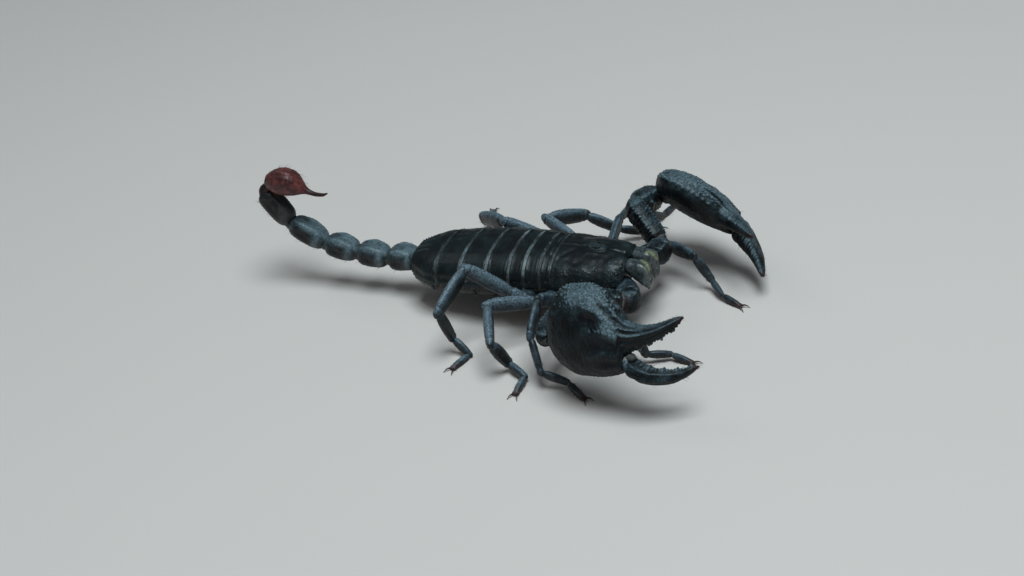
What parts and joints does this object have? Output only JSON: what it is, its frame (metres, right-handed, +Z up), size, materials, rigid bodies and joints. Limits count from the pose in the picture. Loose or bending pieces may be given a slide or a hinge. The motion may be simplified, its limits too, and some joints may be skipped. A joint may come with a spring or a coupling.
{
  "type": "scorpion model",
  "caption": "Life-size still model of a large black forest scorpion standing alert, claws spread forward and the tail arched with its sting turned over.",
  "frame": {"origin": "middle of the footprint box, on the floor", "axes": "-Y towards the head, +X to the animal's left, +Z up"},
  "size_m": [0.0834, 0.1174, 0.0306],
  "materials": {
    "shell": "glossy blue-black to green-black hard shell, finely pitted on the plates",
    "sting": "glossy dark red-brown sting bulb and spine",
    "foot": "black shell that turns red-brown towards the claws",
    "jaw": "dark olive-brown jaws with a paler streak",
    "comb": "dull yellow-brown"
  },
  "bodies": {
    "root": {"carapace": "shell", "coxosternum": "shell", "sternites": "shell", "tergite_1": "shell", "tergite_2": "shell", "tergite_3": "shell", "tergite_4": "shell", "tergite_5": "shell", "tergite_6": "shell", "tergite_7": "shell", "chelicera_left": "jaw", "pectine_left": "comb", "chelicera_right": "jaw", "pectine_right": "comb", "pedipalp_left_femur": "shell", "pedipalp_left_patella": "shell", "chela_left_palm": "shell", "chela_left_moving_finger": "shell", "leg_1_left_femur": "shell", "leg_1_left_patella": "shell", "leg_1_left_tibia": "shell", "leg_1_left_tarsus": "foot", "leg_2_left_femur": "shell", "leg_2_left_patella": "shell", "leg_2_left_tibia": "shell", "leg_2_left_tarsus": "foot", "leg_3_left_femur": "shell", "leg_3_left_patella": "shell", "leg_3_left_tibia": "shell", "leg_3_left_tarsus": "foot", "leg_4_left_femur": "shell", "leg_4_left_patella": "shell", "leg_4_left_tibia": "shell", "leg_4_left_tarsus": "foot", "pedipalp_right_femur": "shell", "pedipalp_right_patella": "shell", "chela_right_palm": "shell", "chela_right_moving_finger": "shell", "leg_1_right_femur": "shell", "leg_1_right_patella": "shell", "leg_1_right_tibia": "shell", "leg_1_right_tarsus": "foot", "leg_2_right_femur": "shell", "leg_2_right_patella": "shell", "leg_2_right_tibia": "shell", "leg_2_right_tarsus": "foot", "leg_3_right_femur": "shell", "leg_3_right_patella": "shell", "leg_3_right_tibia": "shell", "leg_3_right_tarsus": "foot", "leg_4_right_femur": "shell", "leg_4_right_patella": "shell", "leg_4_right_tibia": "shell", "leg_4_right_tarsus": "foot", "metasoma_1": "shell", "metasoma_2": "shell", "metasoma_3": "shell", "metasoma_4": "shell", "metasoma_5": "shell", "telson": "sting"}
  },
  "joints": []
}
